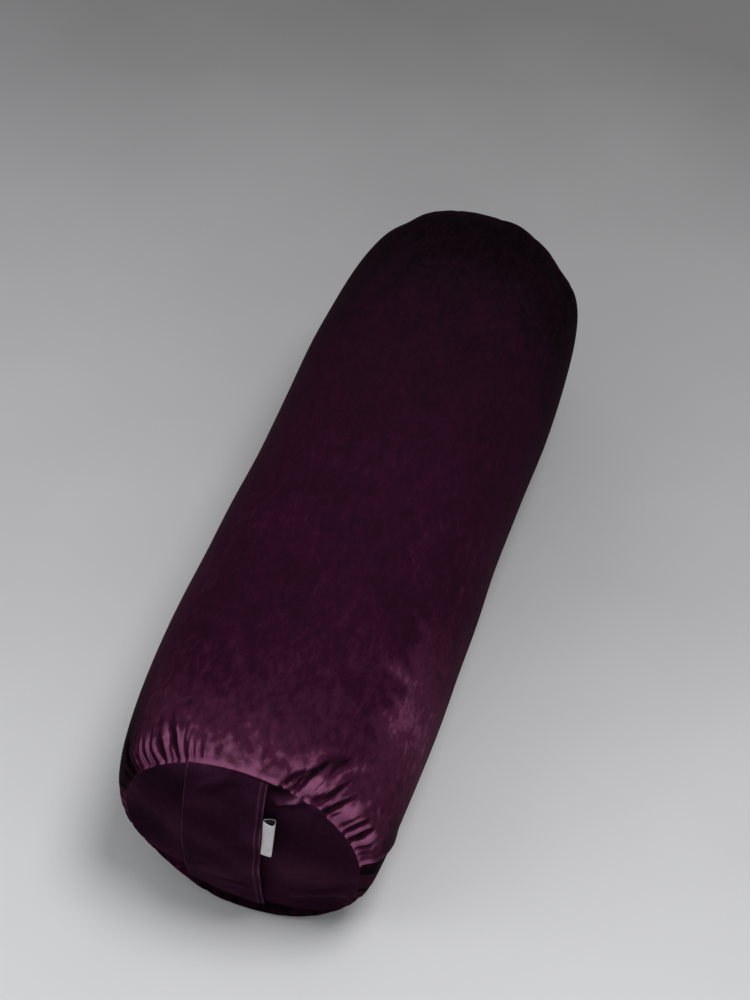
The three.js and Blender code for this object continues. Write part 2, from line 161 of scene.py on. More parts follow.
def colour_by(shader, stops, tone):
    """Colours a material by a tone from 0 to 1; a stop is its tone and a picked colour."""
    made = tone.node("ValToRGB", None, {"Fac": tone})
    ramp = made.socket.node.color_ramp.elements
    while len(ramp) < len(stops):
        ramp.new(0.5)
    for stop, (place, *colour) in zip(ramp, stops):
        stop.position = place
        stop.color = linear(*colour)
    feed(shader, "Base Color", made)


def bump_by(shader, height, depth):
    """Roughens a material's surface by a height of 0 to 1 that is depth metres tall."""
    values = {"Height": height, "Distance": depth, "Strength": 1.0}
    feed(shader, "Normal", height.node("Bump", None, values))


def mesh_object(name, points, faces, material, smooth=True):
    mesh = bpy.data.meshes.new(name)
    mesh.from_pydata(np.asarray(points, float).reshape(-1, 3).tolist(), [], faces)
    mesh.materials.append(material)
    mesh.polygons.foreach_set("use_smooth", [smooth] * len(mesh.polygons))
    made = bpy.data.objects.new(name, mesh)
    scene.collection.objects.link(made)
    return made


def round_faces(rows, columns, closed=True):
    """The faces of a grid of rows and columns, closed round or left open."""
    last = columns if closed else columns - 1
    return [
        (r * columns + c, r * columns + (c + 1) % columns,
         (r + 1) * columns + (c + 1) % columns, (r + 1) * columns + c)
        for r in range(rows - 1)
        for c in range(last)
    ]


def end_faces(rows, columns, turned=False):
    """One many-sided face over each end of a closed grid."""
    ends = [tuple(range(columns))[::-1], tuple((rows - 1) * columns + k for k in range(columns))]
    return [face[::-1] for face in ends] if turned else ends


def closed_object(name, points, material):
    """A piece from rings of points, closed at both ends by a fan round a middle point."""
    count, columns = points.shape[:2]
    first, last_row = count * columns, (count - 1) * columns
    faces = round_faces(count, columns)
    faces += [(first, (c + 1) % columns, c) for c in range(columns)]
    faces += [(first + 1, last_row + c, last_row + (c + 1) % columns) for c in range(columns)]
    ends = [points[0].mean(0), points[-1].mean(0)]
    return mesh_object(name, np.concatenate([points.reshape(-1, 3), ends]), faces, material)


def full_turn(count):
    """Angles all the way round, evenly spaced."""
    return np.linspace(0, 2 * np.pi, count, endpoint=False)


def unit(vectors):
    return vectors / np.linalg.norm(vectors, axis=-1, keepdims=True)


def run_of(line):
    """The distance along a line of points at each of them."""
    return np.concatenate([[0], np.cumsum(np.linalg.norm(np.diff(line, axis=0), axis=1))])


def place_at(at, run, line):
    """The places on a line of points at distances along it."""
    return np.stack([np.interp(at, run, line[:, k]) for k in range(3)], -1)


def beside(x, z, run):
    """Where places lie along a run, from 0 to 1, and how far beside it."""
    share = np.clip((x * run[0] + z * run[1]) / (run[0] ** 2 + run[1] ** 2), 0, 1)
    return share, np.hypot(x - share * run[0], z - share * run[1])


def rising(value, at, width):
    """A smooth step from 0 to 1; with a negative width it falls instead."""
    return 1 / (1 + np.exp((at - value) / width))


def bell(value, width):
    """A smooth hump of height 1 about 0."""
    return np.exp(-((value / width) ** 2))


def waves(seed, count, low, high, *places):
    """Smooth unevenness of about 1 from sine waves; low and high are waves per metre."""
    pick = np.random.default_rng(seed)
    total = 0.0
    for _ in range(count):
        turn = pick.normal(size=len(places))
        turn *= 2 * np.pi * pick.uniform(low, high) / np.linalg.norm(turn)
        shift = pick.uniform(0, 2 * np.pi)
        total = total + np.sin(sum(t * p for t, p in zip(turn, places)) + shift)
    return total / math.sqrt(count / 2)


# Floor
# Smooth pale painted concrete, a little uneven in tone, with painted shade that darkens it away
# from the camera as the light falls off. It stands for the floor that the photograph shows and
# is no part of the bolster.
floor_finish, floor_place, floor_shader = finish_named("painted_floor", {"Roughness": 0.75})
# The y term is painted shade: the floor darkens towards the far side, as the light falls off.
floor_tone_and_shade = noise(floor_place, 0.5, 3.0) * 0.2 + 0.47 - 0.5 * axis(floor_place, 1)
floor_stops = [(0.1, 118, 116, 116), (0.5, 174, 173, 174), (0.9, 230, 230, 231)]
colour_by(floor_shader, floor_stops, floor_tone_and_shade)
floor_corners = [(-9, -9, 0), (9, -9, 0), (9, 9, 0), (-9, 9, 0)]
floor = mesh_object("floor", floor_corners, [(0, 1, 2, 3)], floor_finish, False)

# Filling
# Cotton and kapok stuffing, packed hard into the bag and a little lumpy. It gives the whole
# bolster its shape, so that shape is worked out here.
body_length, body_width, body_height = 0.650, 0.240, 0.220
half_length = body_length / 2
panel_width, panel_height = 0.192, 0.186
squareness, mean_radius, middle_height = 2.3, 0.108, 0.107
press_depth, end_rise = 0.005, 0.008
waist_share, waist_reach = 0.05, 0.8
near_crown, far_crown = 0.008, 0.012
near_lean, lean_run = 0.0035, 0.03
foot_lift, lift_place = 0.0120, (256, 36, 0.010)
foot_push, push_place = 0.0010, (276, 26, 0.025)
foot_bulge, bulge_place = 0.0165, (266, 54, 0.008)
hollows = [(33, 0.304, 0.0065, 0.024), (68, 0.316, -0.003, 0.016), (132, 0.315, 0.003, 0.018),
           (222, -0.325, 0.006, 0.036), (242, -0.325, 0.004, 0.026)]
filling_inset, filling_reach = 0.0058, half_length - 0.0013


def body_section(y):
    """Half width, half height and middle height of the bolster at places along it."""
    out = np.minimum(np.abs(y) / half_length, 1)
    full = (1 - out**squareness) ** (1 / squareness)
    drawn = np.minimum(out / waist_reach, 1)
    waist = waist_share * np.cos(np.pi * drawn / 2) ** 2
    half_width = (panel_width + (body_width - panel_width) * full) / 2 * (1 - waist)
    half_height = (panel_height + (body_height + press_depth - panel_height) * full) / 2
    middle = half_height - press_depth + end_rise * (1 - full)
    return half_width, half_height, middle


rim_half_width, rim_half_height, rim_middle = body_section(np.array(half_length))


def lean(y):
    """How far the bolster's middle leans to the right at places along it."""
    return near_lean * np.exp(-(y + half_length) / lean_run)


def degrees_from(angle, middle):
    """Degrees from a direction round the bolster, from -180 to 180."""
    return (np.degrees(angle) - middle + 180) % 360 - 180


def hollow(y, angle):
    """How deep the stuffing is pressed in: broad dents in the shoulders of both ends."""
    deep = np.zeros_like(angle)
    for turn, along, depth, width in hollows:
        round_it = mean_radius * np.radians(degrees_from(angle, turn))
        deep = deep + depth * np.exp(-((round_it**2 + (y - along) ** 2) / width**2))
    return deep


def near_foot(y, angle, middle, spread, run):
    """How much is left of a change to the near end's lower edge. It dies away in degrees
    round from its middle and in metres from the rim."""
    return bell(degrees_from(angle, middle), spread) * np.exp(-(y + half_length) / run)


def body_point(y, angle, inset=0.0):
    """Points on the bolster at places along it and angles round it, drawn in by an inset."""
    y, angle = np.broadcast_arrays(np.asarray(y, float), np.asarray(angle, float))
    half_width, half_height, middle = body_section(y)
    inset = inset + hollow(y, angle)
    across, up = np.cos(angle), np.sin(angle)
    power = np.where(up > 0, 1.0, 2 / squareness)
    x = lean(y) + (half_width - inset) * np.sign(across) * np.abs(across) ** power
    z = middle + (half_height - inset) * np.sign(up) * np.abs(up) ** power
    z = z + foot_lift * near_foot(y, angle, *lift_place)
    y = y - foot_push * near_foot(y, angle, *push_place)
    return np.stack([x, y, np.maximum(z, np.minimum(inset, 0.006))], -1)


def stuffing(material):
    """A closed body inside the bag, domed at both ends and a little lumpy."""
    rows, columns, cap_rings, lump = 90, 120, 12, 0.0004
    along = filling_reach * np.sin(np.linspace(-np.pi / 2, np.pi / 2, rows))
    body = body_point(along[:, None], full_turn(columns)[None, :], filling_inset)
    share = np.cos(np.linspace(0.12, 1.5, cap_rings))[:, None]
    centre = np.array([0, 0, rim_middle])
    caps = []
    for side, rim, crown in ((-1, body[0], near_crown), (1, body[-1], far_crown)):
        cap = rim * share[..., None] + centre * (1 - share[..., None])
        domed = side * (filling_reach + crown * (1 - share**2))
        cap[..., 1] = domed + share * (rim[:, 1] - side * filling_reach)
        caps.append(cap)
    points = np.concatenate([caps[0][::-1], body, caps[1]])
    outward = points - centre
    outward[..., 1] = np.where(np.abs(points[..., 1]) > filling_reach, outward[..., 1], 0)
    uneven = waves(3, 40, 8, 30, *np.moveaxis(points, -1, 0))
    points = points - unit(outward) * (lump * (1 + np.tanh(uneven)))[..., None]
    points[..., 2] = np.maximum(points[..., 2], filling_inset)
    return closed_object("stuffing", points, material)


fibre_values = {"Roughness": 0.95, "Sheen Weight": 0.3, "Sheen Roughness": 0.6}
fibre, fibre_place, fibre_shader = finish_named("kapok_fibre", fibre_values)
tufts = noise(fibre_place, 0.012, 5.0, 0.6, 0.8)
strands = noise(fibre_place, 0.0018, 3.0, 0.65, 2.5)
fibre_stops = [(0.25, 176, 150, 108), (0.75, 222, 204, 168)]
colour_by(fibre_shader, fibre_stops, 0.6 * tufts + 0.4 * strands)
bump_by(fibre_shader, tufts + 0.5 * strands, 0.002)
filling = stuffing(fibre)
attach(filling, "root")
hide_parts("filling")

# Inner bag
# A plain cotton bag that keeps the stuffing in when the cover is washed: a tube and two
# discs, sewn shut.
cotton_thickness, cotton_pitch = 0.001, 0.0007
bag_inset, bag_rim, gather_count = 0.0042, filling_reach + 0.0003, 38
cotton, cotton_place, cotton_shader = finish_named("plain_cotton", {"Roughness": 0.9})
warp = sine(axis(cotton_place, 2) + axis(cotton_place, 0), cotton_pitch)
weft = sine(axis(cotton_place, 1), cotton_pitch)
cotton_weave = warp * weft * 0.5 + 0.5
cotton_slub = noise(cotton_place, 0.004, 3.0)
cotton_stops = [(0.2, 205, 197, 180), (0.8, 228, 222, 208)]
colour_by(cotton_shader, cotton_stops, 0.7 * cotton_slub + 0.3 * cotton_weave)
bump_by(cotton_shader, cotton_weave + cotton_slub, 0.0002)


def cloth_disc(
    name, side, rim_y, inset, crown, thickness, material, stand=None, rings=36, columns=160
):
    """A round end of cloth, domed outward, with its edge turned in along the seam. The
    function stand gives how far it stands out from that dome."""
    rim = body_point(np.array(side * half_length), full_turn(columns), inset)
    centre = np.array([0, 0, rim_middle])
    shares = np.sin(np.linspace(0.04, np.pi / 2, rings))
    layers = []
    for face in (thickness, 0.0):
        sheet = []
        for share in shares:
            ring = rim * share + centre * (1 - share)
            lift = crown * (1 - share**2) + face
            edge = max(0.0, (share - 0.985) / 0.015) ** 2
            lift = lift - edge * thickness * (1 if face else 0)
            if stand is not None:
                lift = lift + stand(ring[:, 0], ring[:, 2], share)
            ring[:, 1] = side * (rim_y + lift) + share * (rim[:, 1] - side * half_length)
            sheet.append(ring)
        layers.append(np.array(sheet))
    return closed_object(name, np.concatenate([layers[0], layers[1][::-1]]), material)


def bag_tube():
    """The bag's tube, with small gathers that die away from its ends."""
    rows, columns = 120, 200
    angle = full_turn(columns)
    along = filling_reach * np.sin(np.linspace(-np.pi / 2, np.pi / 2, rows))
    far = np.abs(along)[:, None] - filling_reach
    gathers = np.abs(np.sin(gather_count * angle + 1.3 * np.sin(5 * angle)))[None, :]
    gathers = gathers * np.exp(far / 0.03)
    layers = []
    for inset in (bag_inset, bag_inset + cotton_thickness):
        layers.append(body_point(along[:, None], angle[None, :], inset + 0.0003 * gathers))
    points = np.concatenate([layers[0], layers[1][::-1], layers[0][:1]])
    return mesh_object("cotton_bag_tube", points, round_faces(len(points), columns), cotton)


bag_pieces = {"inner_bag_sleeve": bag_tube()}
for end, side, crown in (("near", -1, near_crown), ("far", 1, far_crown)):
    bag_pieces[f"inner_bag_{end}_end"] = cloth_disc(
        f"cotton_bag_{end}_end", side, bag_rim, bag_inset, crown, cotton_thickness, cotton
    )
for node_name, piece in bag_pieces.items():
    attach(piece, "root")
    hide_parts(node_name)

# Cover sleeve
# One width of crushed velvet, closed along the right side by a lapped seam and drawn up at
# both ends onto smaller round panels. The cloth starts in the folds that the photograph
# shows, then settles over the stuffing.
around, wave_arm = 480, 0.11
deepest_fold, tallest_fold = 0.0036, 0.0028
seam_angle, near_seam_angle, straight_reach = math.radians(-36), math.radians(6), 0.234
rim_step, plain_step, rim_reach = 0.0013, 0.0062, 0.11
near_folds = [
    (-3.6, 5.2, (67, 2), (57.3, 17), (48, 34), (44, 42)), (2.0, 6.0, (66, 13), (52.6, 36)),
    (2.2, 2.0, (67, -1), (61, 5), (55.4, 13)), (-2.0, 1.6, (65.5, -1), (57, 9)),
    (2.0, 2.2, (60, -1), (53.9, 13)), (2.8, 5.0, (52.5, 8), (45.8, 30), (39, 43)),
    (-3.4, 4.2, (52, 2), (46.5, 12), (42.6, 26), (36.5, 38)), (1.8, 2.2, (45.6, 5), (39.8, 20)),
    (-3.4, 3.6, (45.6, 1), (42.7, 8), (33.7, 26)), (2.2, 5.0, (37.6, 2), (30, 27)),
    (-2.4, 2.4, (30.5, -1), (26.7, 9), (22, 22)), (1.2, 2.2, (27.5, 0), (22, 14)),
    (-3.4, 3.0, (25, -1), (20.4, 9), (16.8, 18)), (1.6, 3.4, (21.3, 0), (13.1, 16)),
    (-0.8, 2.2, (28, 195), (25, 300)), (-0.8, 2.0, (20, 230), (17, 360)),
    (-0.7, 2.2, (12, 205), (10, 330)), (0.6, 3.0, (24, 200), (21, 330)),
    (-0.6, 2.0, (33, 260), (31, 390)), (-1.2, 2.0, (18, 1), (13.5, 8)),
    (1.0, 3.5, (13, 2), (8, 18)),
    (-1.1, 2.6, (107, 4), (97.3, 8), (91, 16)), (1.0, 2.6, (104, 3), (94, 4)),
    (0.8, 4.0, (106, 12), (98, 31)), (-0.6, 1.6, (108, 4), (103.8, 9)),
    (-1.6, 1.6, (113.8, -1), (112.5, 5)), (1.4, 2.0, (115.3, 0), (117, 14), (119.4, 27)),
    (-3.0, 1.7, (117.5, -1), (119.6, 12), (122.4, 31)),
    (1.2, 1.6, (123.3, 0), (123.3, 14), (126, 26)),
    (-3.0, 1.5, (125.5, -1), (125.3, 14), (128.5, 28)), (-1.4, 2.0, (131, -1), (132, 18)),
    (-1.2, 2.0, (136.8, 1), (137.5, 20)), (1.2, 2.0, (144, 0), (147, 20), (151, 39)),
    (-3.0, 3.4, (150, -1), (155, 25), (160, 50)), (1.0, 3.0, (160, 0), (164, 26)),
    (-2.4, 3.0, (167, -1), (170, 26)),
]
near_folds += [(-2.0, 3.0, (at, -1), (at - 2, 14 + 7 * (at % 4))) for at in range(178, 350, 11)]
far_folds = [
    (-1.4, 3.6, (101, -1), (101, 22)), (-1.4, 3.6, (77, -1), (77, 13)),
    (-1.6, 3.8, (57.5, -1), (57, 14)), (-1.6, 4.2, (20, -1), (19, 18)),
    (-2.0, 4.0, (0.5, -1), (1, 24)), (-1.4, 3.8, (126, -1), (127, 16)),
]
far_folds += [(-2.0, 3.4, (at, -1), (at + 2, 12 + 6 * (at % 3))) for at in range(145, 352, 13)]


def arc_angles(y, count):
    """Angles from the seam round to the seam again, evenly spaced over the cloth at y."""
    angle = seam_angle + np.linspace(0, 2 * np.pi, 4001)
    run = run_of(body_point(y, angle))
    return np.interp(np.linspace(0, run[-1], count + 1)[:-1], run, angle)


def sleeve_rows():
    """Places of the cross threads from rim to rim, closest at the rims."""
    places = [0.0]
    while places[-1] < half_length:
        out = min(places[-1] / rim_reach, 1)
        places.append(places[-1] + rim_step + (plain_step - rim_step) * out * out)
    half = np.array(places) * (half_length / places[-1])
    return np.concatenate([half, body_length - half[-2::-1]]) - half_length


def fold_heights(folds, angle, rim):
    """How far the cloth stands out in its folds. Each has a height and a width in millimetres
    and a line of places, in degrees round and millimetres from the rim, where it dies away."""
    total = np.zeros_like(angle)
    for height, width, *line in folds:
        away, reached = np.full_like(angle, 1.0), np.zeros_like(angle)
        for k, ((from_turn, from_rim), (to_turn, to_rim)) in enumerate(zip(line, line[1:])):
            across = mean_radius * np.radians(degrees_from(angle, from_turn))
            along = rim - from_rim / 1000
            run = mean_radius * math.radians(to_turn - from_turn), (to_rim - from_rim) / 1000
            share, gap = beside(across, along, run)
            reached = np.where(gap < away, (k + share) / (len(line) - 1), reached)
            away = np.minimum(away, gap)
        total += height / 1000 * (1 - 0.6 * reached**2) * bell(away, width / 1000)
    return total


def body_stand(place):
    """How far points stand out from the plain body, and what sets them on it."""
    half_width, half_height, middle = body_section(place[..., 1])
    x, z = place[..., 0] - lean(place[..., 1]), place[..., 2] - middle
    power = np.where(z > 0, 2.0, squareness)
    share = ((np.abs(x) / half_width) ** power + (np.abs(z) / half_height) ** power) ** (1 / power)
    reach = np.sqrt(x * x + z * z) / np.maximum(share, 0.1)
    return (share - 1) * reach, share, reach, x, z, middle


def settle(start, fullness, outer, swell, steps):
    """The cloth's points after it has settled over the stuffing without stretching. It keeps
    its cut lengths across, along and on the skew, and is no tighter over two and four threads."""
    damping, thread_firm, skew_firm, slack, rise, fastest = 0.85, 0.95, 0.25, 0.97, 2e-5, 6e-4
    place = start.copy()
    drift = np.zeros_like(place)
    cut_across = np.linalg.norm(np.roll(start, -1, axis=1) - start, axis=-1) * (1 + fullness)
    cut_along = np.linalg.norm(np.diff(start, axis=0), axis=-1)
    cut_skew, cut_wide = {}, {}
    for step in (1, -1):
        cut_skew[step] = np.linalg.norm(np.roll(start, -step, axis=1)[1:] - start[:-1], axis=-1)
    for step in (2, 4):
        cut_wide[step] = slack * sum(np.roll(cut_across, -k, axis=1) for k in range(step))

    def draw(a, b, wanted, firm, only_short=False):
        """Half the move that brings two sets of points to the distance they were cut to."""
        gap = b - a
        length = np.sqrt((gap * gap).sum(-1))
        pull = firm * (length - wanted) / np.maximum(length, 1e-6) / 2
        if only_short:
            pull = np.minimum(pull, 0)
        gap *= pull[..., None]
        return gap

    for _ in range(steps):
        before = place.copy()
        place += drift * damping
        for _ in range(5):
            for shift in (0, 1):
                rolled = np.roll(place, -shift, axis=1)
                cut = np.roll(cut_across, -shift, axis=1)[:, 0::2]
                move = draw(rolled[:, 0::2], rolled[:, 1::2], cut, thread_firm)
                rolled[:, 0::2] += move
                rolled[:, 1::2] -= move
                place = np.roll(rolled, shift, axis=1)
            for part in (0, 1):
                ends = place[part:-1:2], place[part + 1::2]
                move = draw(*ends, cut_along[part::2], thread_firm)
                place[part:-1:2] += move
                place[part + 1::2] -= move
            for step, cut in cut_skew.items():
                rolled = np.roll(place, -step, axis=1)
                move = draw(place[:-1], rolled[1:], cut, skew_firm)
                place[:-1] += move * 0.5
                place[1:] -= np.roll(move, step, axis=1) * 0.5
            for step, firm in ((2, 0.20), (4, 0.12)):
                rolled = np.roll(place, -step, axis=1)
                move = draw(place, rolled, cut_wide[step], firm, True) * 0.5
                place += move - np.roll(move, step, axis=1)
            place[0], place[-1] = start[0], start[-1]
        stand, share, reach, x, z, middle = body_stand(place)
        wanted = np.clip(stand + rise, outer - deepest_fold, outer + swell)
        change = (1 + wanted / reach) / share
        change[0] = change[-1] = 1
        place[..., 0] = x * change + lean(place[..., 1])
        place[..., 2] = np.maximum(middle + z * change, 0.0)
        drift = np.clip(place - before, -fastest, fastest)
    return place


rows_y = sleeve_rows()
from_near = (rows_y + half_length)[:, None]
from_far = (half_length - rows_y)[:, None]
turn = arc_angles(0.15, around) - seam_angle
drawn = np.clip((-rows_y - straight_reach) / (half_length - straight_reach), 0, 1)[:, None]
drawn = (near_seam_angle - seam_angle) * drawn * (0.5 + 0.5 * np.cos(turn))
angles = seam_angle + turn + drawn
plain_sleeve = body_point(rows_y[:, None], angles)
under = near_foot(-half_length, angles, *bulge_place)
past_rim = from_near / bulge_place[2]
plain_sleeve[..., 1] -= foot_bulge * under * past_rim * np.exp(1 - past_rim)
nearest_rim = np.minimum(from_near, from_far)
lumps = 0.0004 * waves(11, 30, 4, 11, *np.moveaxis(plain_sleeve, -1, 0))
lumps = lumps * np.minimum(nearest_rim / 0.05, 1)
flat_cloth = angles * wave_arm, from_near + 0 * angles
crinkles = 0.0002 * waves(5, 60, 40, 90, *flat_cloth)
crinkles = crinkles * (np.exp(-from_near / 0.04) + np.exp(-from_far / 0.03))
sewn_in = 0.4 + 0.6 * np.minimum(nearest_rim / 0.005, 1)
sway = 0.016 * waves(91, 30, 20, 60, *flat_cloth) * np.minimum(from_near / 0.012, 1)
strength = 1 + 0.28 * waves(92, 30, 15, 55, *flat_cloth)
folds = strength * fold_heights(near_folds, angles + sway, from_near)
folds = folds + fold_heights(far_folds, angles, from_far)
folds = np.clip(folds, -deepest_fold, tallest_fold) - 0.0006 * np.exp(-from_near / 0.02)
outwards = plain_sleeve.copy()
outwards[..., 1] = 0
outwards[..., 2] -= body_section(rows_y)[2][:, None]
start_cloth = plain_sleeve + unit(outwards) * (lumps + crinkles + folds * sewn_in)[..., None]
start_cloth[..., 2] = np.maximum(start_cloth[..., 2], 0)
fullness = 0.003 * np.exp(-from_near / 0.03) + 0.008 * np.exp(-from_far / 0.02)
round_degrees = np.degrees(angles)
left_side = rising(round_degrees, 145, 6) * rising(round_degrees, 250, -6)
swell = 0.0006 + 0.0020 * np.exp(-from_near / 0.05) * (1 - left_side)
swell = swell + 0.0008 * np.exp(-from_far / 0.03)
cloth = settle(start_cloth, fullness, lumps + body_stand(plain_sleeve)[0], swell, 40)
for _ in range(2):
    cloth = 0.7 * cloth + 0.15 * (np.roll(cloth, 1, axis=1) + np.roll(cloth, -1, axis=1))
    cloth[1:-1] = cloth[1:-1] / 2 + (cloth[:-2] + cloth[2:]) / 4


def grid_normals(grid, wrap=True):
    """The outward direction at each point of a grid."""
    if wrap:
        side = np.roll(grid, -1, axis=1) - np.roll(grid, 1, axis=1)
    else:
        side = np.gradient(grid, axis=1)
    normal = np.cross(side, np.gradient(grid, axis=0))
    normal /= np.maximum(np.linalg.norm(normal, axis=-1, keepdims=True), 1e-9)
    return -normal


zip_place = np.array([0.095063, 0, 0.037006])
zip_out = np.array([0.81402, 0, -0.58083])
zip_round = np.array([0.58083, 0, 0.81402])
chain_length = 0.460
on_chain = rising(np.abs(rows_y) - chain_length / 2, 0.006, -0.0022)
seam_reach, cut_upper, cut_lower = 14, 9, 8
slit_depth, slit_hold, upper_edge, lower_edge = 0.0024, 7, 4, 6
upper_zip = [
    (10, -4.2), (5, -4.2), (1.6, -4.1), (1.0, -3.6), (0.9, -2.4), (0.9, -1.2), (1.1, -0.3),
    (1.8, 0.3), (3.2, 0.5), (5.4, 0.4), (9, 0.1),
]
upper_lap = [
    (7, -0.7), (4, -0.7), (1.0, -0.65), (-0.2, -0.5), (-0.75, 0.0), (-0.6, 0.6), (0.2, 1.05),
    (1.6, 1.2), (3.4, 1.05), (6, 0.6), (10, 0.2),
]
lower_zip = [
    (-9, 0), (-5.4, 0), (-3.2, 0), (-1.9, -0.1), (-1.15, -0.45), (-0.9, -1.2), (-0.9, -2.4),
    (-1.0, -3.6), (-1.6, -4.1), (-5, -4.2), (-10, -4.2),
]
lower_lap = [
    (-9, 0), (-5.4, -0.1), (-3, -0.35), (-1.6, -0.7), (-0.5, -1.0), (0.6, -1.25),
    (1.8, -1.45), (3, -1.55), (4.2, -1.6), (6, -1.65), (8, -1.7),
]


def seam_columns(grid, normals, profiles):
    """Columns of points along the seam from two profiles of (round, out) in millimetres: one
    over the chain, and one for the lap sewn shut beyond it, which stands taller at the rim."""
    width = 2 * seam_reach + 1
    seam_grid = np.roll(grid, seam_reach, axis=1)[:, :width]
    seam_normals = np.roll(normals, seam_reach, axis=1)[:, :width]
    steps = np.linalg.norm(np.diff(seam_grid, axis=1), axis=-1)
    run = np.concatenate([np.zeros((len(grid), 1)), np.cumsum(steps, axis=1)], axis=1)
    run = run - run[:, seam_reach, None]
    taller = 1 + 0.9 * np.exp(-(rows_y + half_length) / 0.05)
    made = []
    for (zip_turn, zip_stand), (lap_turn, lap_stand) in zip(*profiles):
        aside = (zip_turn * on_chain + lap_turn * (1 - on_chain)) / 1000
        out = (zip_stand * on_chain + lap_stand * taller * (1 - on_chain)) / 1000
        made.append([
            place_at(a, r, line) + o * place_at(a, r, outward)
            for a, o, r, line, outward in zip(aside, out, run, seam_grid, seam_normals)
        ])
    return np.stack(made, axis=1)


normals = grid_normals(cloth)
upper = seam_columns(cloth, normals, (upper_zip, upper_lap))
lower = seam_columns(cloth, normals, (lower_zip, lower_lap))
slit_middle = (upper[:, upper_edge] + lower[:, lower_edge]) / 2
aside = (zip_place - slit_depth * zip_out - slit_middle) * on_chain[:, None]
aside[:, 1] = 0
for edge_columns, edge_profile in ((upper, upper_zip), (lower, lower_zip)):
    held = bell(np.array(edge_profile)[:, 0], slit_hold)
    edge_columns += aside[:, None, :] * held[None, :, None]
sewn = np.concatenate([upper, cloth[:, cut_upper:-cut_lower], lower], axis=1)
rolls = [
    (0.0000, 0.0008), (0.0004, 0.0015), (0.0009, 0.0019), (0.0014, 0.0018), (0.0018, 0.0010),
    (0.0020, -0.003),
]
turned = []
for end, side in ((0, -1), (-1, 1)):
    rim = sewn[end]
    centre = np.array([lean(side * half_length), side * half_length, rim_middle])
    inward = unit(centre - rim)
    turned.append([rim + inward * deep + np.array([0, side * past, 0]) for deep, past in rolls])
sewn = np.concatenate([turned[0][::-1], sewn, turned[1]])
plain_columns = list(range(cut_upper, around - cut_lower))
tone_columns = [0] * upper.shape[1] + plain_columns + [-1] * lower.shape[1]
tone_rows = [0] * len(rolls) + list(range(len(folds))) + [-1] * len(rolls)
fold_shading = folds[tone_rows][:, tone_columns]


def velvet(name, stops, crush, nap_rough):
    """Crushed velvet: a short pile that lies one way or another in soft patches. Its colour also
    takes the painted light and shade that each piece keeps.
    """
    values = {"Sheen Weight": 0.004, "Sheen Roughness": 0.4, "Sheen Tint": linear(240, 90, 170)}
    values["Specular IOR Level"] = 0.005
    material, place, shader = finish_named(name, values)
    # The pile value each piece keeps: mostly painted light and shade, added onto the colour.
    lay_and_light = place.node("Attribute", {"attribute_name": "pile"}, output=2)
    long_place = place.node("Mapping", None, {"Vector": place, "Scale": (1.0, 0.5, 1.0)})
    clouds = noise(place, 0.09, 2.0, 0.5, 0.5)
    brushed = noise(long_place, 0.015, 4.0, 0.62, 1.6)
    streaks = noise(long_place, 0.0032, 3.0, 0.65, 0.8)
    pile = noise(place, 0.0008, 2.0, 0.7)
    tone = 0.25 * clouds + 0.38 * brushed + 0.27 * streaks + 0.10 * pile
    colour_by(shader, stops, (tone - 0.5) * crush + lay_and_light)
    feed(shader, "Roughness", nap_rough + 0.2 * (0.5 - lay_and_light) + 0.2 * (brushed - 0.5))
    bump_by(shader, 0.55 * brushed + 0.28 * streaks + 0.17 * pile, 0.0007)
    return material


def store(piece, name, values):
    """Keeps a value at each point of a piece for its material to read."""
    kept = piece.data.attributes.new(name, "FLOAT", "POINT")
    kept.data.foreach_set("value", np.asarray(values).astype(np.float32).reshape(-1))


def keep_pile_and_light(piece, values):
    """Keeps the velvet's brightness at each point, 0.5 plain and more brighter: mostly painted
    light and shade, partly the pile's own lay.
    """
    store(piece, "pile", np.clip(values, 0, 1))


sleeve_stops = [
    (0.04, 5, 2, 4), (0.25, 24, 10, 19), (0.5, 41, 13, 30), (0.75, 67, 28, 49),
    (1.0, 128, 74, 104),
]
sleeve_velvet = velvet("sleeve_velvet", sleeve_stops, 0.95, 0.6)
sleeve_faces = round_faces(*sewn.shape[:2], False)
sleeve = mesh_object("velvet_sleeve", sewn, sleeve_faces, sleeve_velvet)

# The velvet's brightness, kept as its pile value, is mostly painted: painted highlights on crests
# and painted shade in valleys, painted shade growing along the bolster away from the light, and
# painted highlights and shade in patches beside the near rim. The mottle is the velvet's own
# crushed pile.
sewn_normals = grid_normals(sewn, False)
near_rim = sewn[..., 1] + half_length
# Painted highlights where the cloth bends outward and painted shade where it bends inward, near
# the rim.
bend = np.zeros(sewn.shape[:2])
for reach in (1, 2, 4):
    after, before = np.roll(sewn, reach, axis=1), np.roll(sewn, -reach, axis=1)
    wide = np.maximum(np.linalg.norm(after - before, axis=-1) / 2, 0.0008)
    bend -= ((after + before - 2 * sewn) * sewn_normals).sum(-1) / wide**2 / 3
bend = np.clip((bend - 9) / 260, -0.25, 0.25) * np.exp(-near_rim / 0.06)
# Painted shade deep in the folds' valleys and painted highlights on their crests.
valley_shade = -0.40 * np.abs(fold_shading / deepest_fold) ** 1.6
bend += np.where(fold_shading > 0, 110 * fold_shading, valley_shade)
bend = np.maximum(bend, -0.46)
